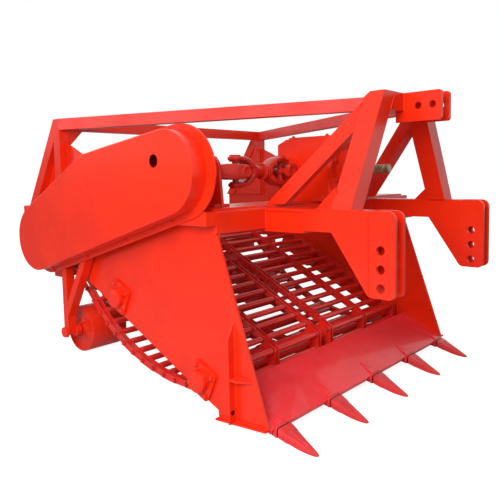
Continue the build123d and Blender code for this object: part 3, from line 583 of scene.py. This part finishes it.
def bearing_details():
    """Bolts, cap and grease nipple of each flange bearing."""
    bolt_offset, turn = 51.0, radians(25)
    places = (("nose", NOSE_Y, NOSE_Z), ("support", SUPPORT_Y, SUPPORT_Z), ("drive", DRIVE_Y, DRIVE_Z))
    for side, sign in SIDES:
        for name, y, z in places:
            bm = bmesh.new()
            for a in (-bolt_offset, bolt_offset):
                for b in (-bolt_offset, bolt_offset):
                    bolt_y, bolt_z = y + a * cos(turn) - b * sin(turn), z + a * sin(turn) + b * cos(turn)
                    hex_bolt(bm, (sign * (SIDE_X + BEARING_FLANGE), bolt_y, bolt_z), (sign, 0, 0), 21.0, 9.0)
            spun(bm, BEARING_CAP, (sign * (SIDE_X + BEARING_HOUSING), y, z), (sign, 0, 0), 40)
            root = (sign * (SIDE_X + 28), y - 49, z + 8)
            elbow = (root[0], root[1] - 6, root[2] + 4)
            bar(bm, root, elbow, 4.5, 8)
            bar(bm, elbow, (root[0], root[1] - 14, root[2] + 9), 2.8, 8, 2.0)
            piece(f"{name}_bearing_bolts_{side}", bm, RED)


def turns_in(a, b, c):
    """True where a path of three points doesn't bend to the left."""
    return (b[0] - a[0]) * (c[1] - a[1]) <= (b[1] - a[1]) * (c[0] - a[0])


def case_hull(grow, spacing):
    """Evenly spaced points round the chain case's outline, grown by a margin."""
    dots = []
    for y, z, radius in CASE_LOBES:
        dots += [on_circle((y, z), radius + grow, angle) for angle in range(0, 360, 3)]
    dots.sort()
    halves = []
    for order in (dots, dots[::-1]):
        side = []
        for dot in order:
            while len(side) > 1 and turns_in(side[-2], side[-1], dot):
                side.pop()
            side.append(dot)
        halves.append(side[:-1])
    hull = halves[0] + halves[1]
    runs = list(zip(hull, hull[1:] + hull[:1]))
    total = sum(hypot(b[0] - a[0], b[1] - a[1]) for a, b in runs)
    count, out, gone = round(total / spacing), [], 0.0
    for a, b in runs:
        length = hypot(b[0] - a[0], b[1] - a[1])
        while len(out) < count and gone + length > len(out) * total / count:
            share = (len(out) * total / count - gone) / length
            out.append((a[0] + (b[0] - a[0]) * share, a[1] + (b[1] - a[1]) * share))
        gone += length
    return out


def case_bolts():
    """Bolts round the flange of the chain case."""
    bm = bmesh.new()
    for y, z in case_hull(grow=12.0, spacing=330.0):
        hex_bolt(bm, (CASE_PLATE_X, y, z), (-1, 0, 0), 11.0, 5.0)
    piece("chain_case_bolts", bm, RED)


def gearbox_bolts():
    """Bolts of the gearbox: top cover, front flange, base and the cap of the cross shaft."""
    bm = bmesh.new()
    cover_x, cover_front, cover_back, cover_top = 101, 390, 600, GEARBOX_TOP + 8
    rings = ((126.0, 8, GEARBOX_Y0 - 24), (80.0, 6, GEARBOX_Y0 - 62))
    for x in (-cover_x, cover_x):
        for y in (cover_front, cover_back):
            hex_bolt(bm, (x, y, cover_top), (0, 0, 1), 15.0, 7.0)
    for radius, count, y in rings:
        for number in range(count):
            turn = 2 * pi * (number + 0.5) / count
            hex_bolt(bm, (radius * cos(turn), y, SHAFT_Z + radius * sin(turn)), (0, -1, 0), 17.0, 8.0)
    for sign in (-1, 1):
        for y in (GEARBOX_Y0 + 42, GEARBOX_Y1 - 42):
            hex_bolt(bm, (sign * (GEARBOX_X + 11), y, DECK_TOP + 22), (0, 0, 1), 17.0, 9.0)
    cap_r, cap_bolts = 59.0, 6
    for number in range(cap_bolts):
        turn = 2 * pi * (number + 0.5) / cap_bolts
        spot = (-GEARBOX_X - 18, SHAFT_Y + cap_r * cos(turn), SHAFT_Z + cap_r * sin(turn))
        hex_bolt(bm, spot, (-1, 0, 0), 13.0, 6.0)
    piece("gearbox_bolts", bm, RED)


# Cross shaft with its two universal joints

FORK_EYE = ((-15, 12), (-15, 27), (15.5, 27), (17, 25.5), (17, 20.5), (14, 20), (13, 18.5), (13, POLE))
# Arms of a fork: distance from the cross, offset from the shaft line, half thickness and half width
FORK_ARM = (
    (-33, 62, 4, 12), (-30, 62, 9, 20), (-20, 62, 12, 28), (-4, 62, 13, 33), (16, 62, 13, 35),
    (45, 59, 14, 36), (70, 48, 18, 37), (92, 31, 22, 37), (112, 16, 24, 35), (126, 6, 26, 31),
)
OUTLET_ARM = (
    (-30, 62, 9, 20), (-20, 62, 12, 28), (-4, 62, 13, 33), (16, 62, 13, 35), (40, 56, 16, 37),
    (70, 40, 22, 40),
)


def fork_arms(bm, arm, place):
    """Two arms of a fork with an eye in each, about the cross of a joint."""
    across = place.to_3x3() @ Vector((1, 0, 0))
    for side in (-1, 1):
        sections = [(run, side * off, 0, half_u, half_v) for run, off, half_u, half_v in arm]
        loft(bm, sections, place, 20, 3.2)
        spun(bm, FORK_EYE, place @ Vector((side * EAR_OFFSET, 0, 0)), across * side, 28)


def yoke(bm, cross_x, toward, normal, hub_end, neck):
    """Forged fork of a universal joint, whose arms close on a hub that ends in a neck."""
    other = (0, 0, 1) if normal[1] else (0, 1, 0)
    columns = (Vector(normal), Vector(other), Vector((toward, 0, 0)))
    cross = Matrix.Translation((cross_x, SHAFT_Y, SHAFT_Z))
    fork_arms(bm, FORK_ARM, cross @ Matrix(columns).transposed().to_4x4())
    root = (cross_x + toward * 96, SHAFT_Y, SHAFT_Z)
    length = abs(hub_end - root[0])
    hub = [(0, POLE), (0, 35), (length * 0.35, 36), (length * 0.6, neck), (length, neck), (length, POLE)]
    spun(bm, hub, root, (toward, 0, 0), 32)


def cardan_shaft():
    """Cross shaft: stub from the chain case, two universal joints with their spiders, and the gearbox yoke."""
    y_way, z_way = (0, 1, 0), (0, 0, 1)
    bm = bmesh.new()
    stub_out, stub_in, stub_r, hub_end = -907, -690, 25.0, -700.0
    pin_reach, pin_r, ball_r = 60, 15.0, 24.0
    bar(bm, (stub_out, SHAFT_Y, SHAFT_Z), (stub_in, SHAFT_Y, SHAFT_Z), stub_r, 32)
    yoke(bm, JOINT_LEFT_X, -1, y_way, hub_end, 36.0)
    yoke(bm, JOINT_LEFT_X, 1, z_way, JOINT_MIDDLE_X - 12, 29.0)
    yoke(bm, JOINT_RIGHT_X, -1, z_way, JOINT_MIDDLE_X + 16, 34.0)
    for step, width in ((-14, 10), (0, 14), (18, 12)):
        ring = [(0, 20), (0, 40), (2, 42), (width - 2, 42), (width, 40), (width, 20)]
        spun(bm, ring, (JOINT_MIDDLE_X + step, SHAFT_Y, SHAFT_Z), (1, 0, 0), 36)
    turned = Matrix(((0, 0, 1), (1, 0, 0), (0, 1, 0))).to_4x4()
    fork_arms(bm, OUTLET_ARM, Matrix.Translation((JOINT_RIGHT_X, SHAFT_Y, SHAFT_Z)) @ turned)
    for x in (JOINT_LEFT_X, JOINT_RIGHT_X):
        centre = Vector((x, SHAFT_Y, SHAFT_Z))
        for axis in (y_way, z_way):
            bar(bm, centre - Vector(axis) * pin_reach, centre + Vector(axis) * pin_reach, pin_r, 20)
        bmesh.ops.create_icosphere(bm, subdivisions=2, radius=ball_r, matrix=Matrix.Translation(centre))
    made = piece("cardan_shaft", bm, JOINT)
    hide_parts("cross_shaft")


# Teeth

# Sections of a tooth: distance from the tip, top, bottom and half width
TOOTH_POINT = (
    (0, 7, 3.2, 5), (3, 10, 2.2, 8), (16, 16, 2.0, 12.5), (45, 30, 5, 19), (75, 44, 11, 25), (98, 55, 18, 30),
    (118, 63, 25, 35), (128, 68, 28, 40), (150, 78, 36, 44), (162, 82, 40, 45.5), (165, 83, 42, 45),
)
TOOTH_COLLAR = (
    (171, 84, 43, 42), (173, 87, 40, 45), (181, 89, 39, 46), (188, 80, 42, 45), (204, 66, 44, 40),
    (232, 74, 56, 30),
)
TOOTH_SEAM = ((163, 82, 43, 43.5), (173, 84, 42, 43.5))
# Ridge along the top of a tooth: distance from the tip, height and half width
TOOTH_RIDGE = ((8, 11, 2), (45, 33.5, 4), (90, 54.5, 5.5), (124, 68.5, 7), (140, 74, 3))
# Spine on the blade: distance up its slope, height off it and half width
BLADE_SPINE = ((-3, 6, 27), (2, 8, 27), (36, 6.5, 19), (76, 4, 9), (104, 0.8, 3))
PIN_PLACE = (146.0, 55.0)
PIN_PROFILE = ((-8, 10), (1.5, 10), (3, 8.5), (3, 5.5), (1.0, 4.8), (1.0, POLE))


def on_blade(run, up):
    """Side-view point on the blade: distance up its slope from the front edge, and height off it."""
    (y0, z0), (y1, z1) = BLADE_FRONT, BLADE_REAR
    slope = atan2(z1 - z0, y1 - y0)
    return y0 + run * cos(slope) - up * sin(slope), z0 + run * sin(slope) + up * cos(slope)


def cast(bm, sections, stand, sides):
    """Nearly square cast shape through sections of a top, a bottom and a half width."""
    rows = [(run, 0, (top + low) / 2, half, (top - low) / 2) for run, top, low, half in sections]
    loft(bm, rows, stand, sides, 6.0)


def digging_tooth(number, x):
    """Cast tooth point with a waist, on its adapter with the cross pin, and the spine on the blade."""
    stand = Matrix.Translation((x, 0, 0)) @ Matrix(((1, 0, 0), (0, 0, 1), (0, 1, 0))).to_4x4()
    bm = bmesh.new()
    cast(bm, TOOTH_POINT, stand, 28)
    loft(bm, [(run, 0, top - 4, half, 4.5) for run, top, half in TOOTH_RIDGE], stand, 12, 2.6)
    cast(bm, TOOTH_COLLAR, stand, 24)
    for side in (-1, 1):
        spun(bm, PIN_PROFILE, (x + side * TOOTH_HALF, *PIN_PLACE), (side, 0, 0), 20)
    made = piece(f"tooth_point_{number}", bm, TOOTH)
    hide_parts(f"tooth_{number}")
    # Near-black band in the narrow gap between the tooth point and its collar: painted shade of the seam.
    bm = bmesh.new()
    cast(bm, TOOTH_SEAM, stand, 20)
    piece(f"tooth_seam_shade_{number}", bm, PAINTED_SHADE)
    bm = bmesh.new()
    spine = []
    for run, up, half in BLADE_SPINE:
        y, z = on_blade(run, up)
        spine.append((y, z, on_blade(run, -3)[1], half))
    cast(bm, spine, stand, 16)
    piece(f"tooth_spine_{number}", bm, BLADE)


# Small parts of the frame

REAR_PANEL = ((1600, 953), (1600, 1300), (1532, 1271), (1444, 1230), (1330, 1130), (1212, 953))
REAR_BOSS, BOSS_PLACE = ((-2, 26), (9, 26), (11, 24), (11, 12), (5, 10), (5, POLE)), (1562, 925)
HOLE_DISC = ((-1, 10.5), (0.6, 10.5), (1.0, 10), (1.0, POLE))


def rear_panels():
    """Thin gusset plate ahead of each rear post, on the side plate, and the boss inside the side plate."""
    face_x, thick, seam_x, seam_z = 829.0, 6.0, 828, 953
    for side, sign in SIDES:
        bm = bmesh.new()
        face = bm.faces.new([bm.verts.new((sign * face_x, y, z)) for y, z in REAR_PANEL])
        made = bmesh.ops.extrude_face_region(bm, geom=[face])["geom"]
        moved = [item for item in made if isinstance(item, bmesh.types.BMVert)]
        bmesh.ops.translate(bm, vec=(sign * thick, 0, 0), verts=moved)
        bmesh.ops.bevel(
            bm, geom=bm.edges[:], offset=0.8, segments=2, profile=0.5, material=-1, affect="EDGES"
        )
        bead(bm, (sign * seam_x, 1216, seam_z), (sign * seam_x, 1598, seam_z))
        spun(bm, REAR_BOSS, (sign * INNER_X, *BOSS_PLACE), (-sign, 0, 0), 32)
        piece(f"rear_gusset_{side}", bm, RED)


def stiffener_holes():
    """Near-black disc at the foot of each front stiffener: painted shade standing for the inside of the
    drilled hole, which is not cut.
    """
    for side, sign in SIDES:
        bm = bmesh.new()
        spun(bm, HOLE_DISC, (sign * STIFFENER_X, STIFFENER_Y, STIFFENER_HOLE_Z), (0, -1, 0), 28)
        piece(f"stiffener_hole_shade_{side}", bm, PAINTED_SHADE)


def deck_details():
    """Thin strip welded along the top of the left hitch arm, and a near-black strip of painted shadow for the
    slot at the gearbox foot.
    """
    bm = bmesh.new()
    bevelled_bar(bm, (-HITCH_OUT_X - 1, 345, ARM_TOP - 9), (14, 210, 6))
    piece("arm_plate", bm, RED)
    # Painted shadow: a near-black strip where the gap under the gearbox's foot falls into shade.
    bm = bmesh.new()
    bevelled_bar(bm, (-GEARBOX_X - 12, 503, DECK_TOP + 3), (3, 184, 6))
    piece("gearbox_slot_shade", bm, PAINTED_SHADE)


def axle_nuts():
    """Hexagon nuts round the outer ends of the wheel axles."""
    for side, sign in SIDES:
        bm = bmesh.new()
        hex_bolt(bm, (sign * BRACKET_OUT_X, WHEEL_Y, WHEEL_Z), (sign, 0, 0), 44.0, 7.0)
        piece(f"axle_nut_{side}", bm, RED)


bearing_details()
case_bolts()
gearbox_bolts()
cardan_shaft()
for number in range(TOOTH_COUNT):
    digging_tooth(number + 1, (number - TOOTH_COUNT // 2) * TOOTH_STEP)
rear_panels()
stiffener_holes()
deck_details()
axle_nuts()


# Weld beads

def mast_x(z):
    """X of a mast leg's outer face at a height, on the right-hand side."""
    return HITCH_OUT_X - MAST_LEAN * (z - ARM_TOP)


def frame_welds():
    """Beads of one side's joints, as start and end points for the left-hand side."""
    out, inn = -HITCH_OUT_X, -HITCH_IN_X
    head, foot_in = -mast_x(MAST_TOP), -HITCH_OUT_X + MAST_WIDTH
    lug_y, lug_low, ear_low = -80, 605, MAST_TOP - 83
    return [
        # Lugs on the end of the hitch arm
        ((out, lug_y, ARM_TOP - 3), (out, lug_y, lug_low)), ((inn, lug_y, ARM_TOP - 3), (inn, lug_y, lug_low)),
        # Foot of the mast leg and its gusset
        ((out, 0, ARM_TOP), (inn, 0, ARM_TOP)), ((out, 0, ARM_TOP), (out, MAST_DEPTH, ARM_TOP)),
        ((foot_in, MAST_DEPTH, ARM_TOP), (inn, MAST_DEPTH, ARM_TOP)),
        *(((x, MAST_DEPTH, ARM_TOP), (x, MAST_DEPTH + 96, ARM_TOP)) for x in GUSSET_FACES_X),
        *(((x, MAST_DEPTH, ARM_TOP), (x, MAST_DEPTH, ARM_TOP + 90)) for x in GUSSET_FACES_X),
        # Hitch arm on the crossbeam
        ((out, BEAM_Y, BEAM_Z), (out, BEAM_Y, ARM_TOP)), ((inn, BEAM_Y, BEAM_Z), (inn, BEAM_Y, ARM_TOP)),
        ((out, BEAM_Y, ARM_TOP), (inn, BEAM_Y, ARM_TOP)),
        # Head block on the mast leg, and a top clevis plate on the head block
        ((head + MAST_WIDTH, 0, MAST_TOP - 2), (-mast_x(ear_low) + MAST_WIDTH, 0, ear_low)),
        ((-53, 0, ear_low), (-53, 0, MAST_TOP - 2)), ((-35, 0, ear_low), (-35, 0, MAST_TOP - 2)),
        # Stiffener, shelf and foot flange on the side plate
        ((-SIDE_X, 362, 95), (-SIDE_X, 362, 492)), ((-SIDE_X, 370, 78), (-SIDE_X, 370, 492)),
        ((-SIDE_X, 268, 263), (-SIDE_X, 358, 263)), ((-SIDE_X, 190, 84), (-SIDE_X, 460, 65)),
        # Side plate on the crossbeam, the side rail and the blade
        ((-INNER_X, BEAM_Y, BEAM_Z), (-INNER_X + 14, BEAM_Y, BEAM_Z)),
        ((-SIDE_X, BEAM_Y + 102, RAIL_TOP - RAIL), (-SIDE_X, 1570, RAIL_TOP - RAIL)),
        ((-INNER_X, BLADE_FRONT[0] + 6, BLADE_FRONT[1] + 3), (-INNER_X, BLADE_REAR[0], BLADE_REAR[1])),
        # Wheel bracket under the side rail and along its front edges
        ((-BRACKET_IN_X, WHEEL_Y - 21, RAIL_TOP - RAIL), (-BRACKET_OUT_X, WHEEL_Y - 21, RAIL_TOP - RAIL)),
        ((-BRACKET_OUT_X, WHEEL_Y - 21, 395), (-BRACKET_OUT_X, WHEEL_Y - 21, 325)),
        ((-BRACKET_IN_X, WHEEL_Y - 21, 250), (-BRACKET_IN_X, WHEEL_Y - 21, 290)),
    ]


for side, sign in (("left", 1), ("right", -1)):
    bm = bmesh.new()
    for start, end in frame_welds():
        bead(bm, (start[0] * sign, *start[1:]), (end[0] * sign, *end[1:]))
    piece(f"weld_beads_{side}", bm, RED)


# Materials of the carried-over nodes

def node_material(name):
    """Material of a carried-over node, from its name."""
    if name.startswith("tooth_"):
        return TOOTH
    if "blade" in name:
        return BLADE
    if name.startswith("top_rail"):
        return SCUFFED_AND_SHEEN
    if name in ("nose_roller", "support_shaft", "drive_shaft"):
        return WEB
    if name == "cross_shaft":
        return JOINT
    return RED


for name, made in frame["nodes"].items():
    made.data.materials.clear()
    made.data.materials.append(node_material(name))


# Floor, light and camera

def studio():
    """Pale floor, white surroundings and a broad soft light from the front left."""
    bm = bmesh.new()
    bmesh.ops.create_circle(bm, cap_ends=True, segments=96, radius=26.0)
    mesh = bpy.data.meshes.new("floor")
    bm.to_mesh(mesh)
    bm.free()
    floor = bpy.data.objects.new("floor", mesh)
    floor.location.z = -0.0005
    bpy.context.scene.collection.objects.link(floor)
    pale = bpy.data.materials.new("pale_floor")
    pale.use_nodes = True
    shader = pale.node_tree.nodes["Principled BSDF"]
    shader.inputs["Base Color"].default_value = (0.62, 0.62, 0.62, 1)
    shader.inputs["Roughness"].default_value = 0.95
    shader.inputs["Specular IOR Level"].default_value = 0.0
    shader.inputs["Emission Color"].default_value = (1, 1, 1, 1)
    path = node(pale.node_tree, "ShaderNodeLightPath")
    glow = maths(pale.node_tree, "MULTIPLY", path.outputs["Is Camera Ray"], 0.86)
    pale.node_tree.links.new(glow, shader.inputs["Emission Strength"])
    mesh.materials.append(pale)

    world = bpy.data.worlds.new("studio")
    world.use_nodes = True
    tree = world.node_tree
    background = tree.nodes["Background"]
    path = node(tree, "ShaderNodeLightPath")
    seen = maths(tree, "MAXIMUM", path.outputs["Is Camera Ray"], path.outputs["Is Glossy Ray"])
    seen = maths(tree, "MAXIMUM", seen, path.outputs["Is Transmission Ray"])
    strength = node(tree, "ShaderNodeMapRange", [(0, seen), (3, 0.36), (4, 1.0)]).outputs[0]
    background.inputs["Color"].default_value = (1, 1, 1, 1)
    tree.links.new(strength, background.inputs["Strength"])
    bpy.context.scene.world = world

    key = bpy.data.lights.new("key", "AREA")
    key.shape, key.size, key.energy = "DISK", 2.2, 128.0
    lamp = bpy.data.objects.new("key", key)
    toward = Vector((-0.76, -0.36, 0.54))
    lamp.location = Vector((-0.85, -0.25, 0.5)) + toward * 3.2
    lamp.visible_glossy = False
    lamp.rotation_euler = toward.to_track_quat("Z", "Y").to_euler()
    bpy.context.scene.collection.objects.link(lamp)


def camera():
    """Camera fitted to the photograph, from its place and directions beside the level machine."""
    right, down = Vector((0.65873, -0.75210, -0.02067)), Vector((-0.07911, -0.04191, -0.99598))
    forward = Vector((0.74821, 0.65772, -0.08711))
    place = Vector((-2.5409, -1.2266, 1.1014))
    data = bpy.data.cameras.new("camera")
    data.lens, data.sensor_width, data.shift_y = 41.17, 36.0, -0.05
    made = bpy.data.objects.new("camera", data)
    turn = Matrix((right, -down, -forward)).transposed().to_4x4()
    made.matrix_world = PARK @ Matrix.Translation(place) @ turn
    bpy.context.scene.collection.objects.link(made)
    bpy.context.scene.camera = made


studio()
camera()
bpy.context.scene.view_settings.view_transform = "Standard"
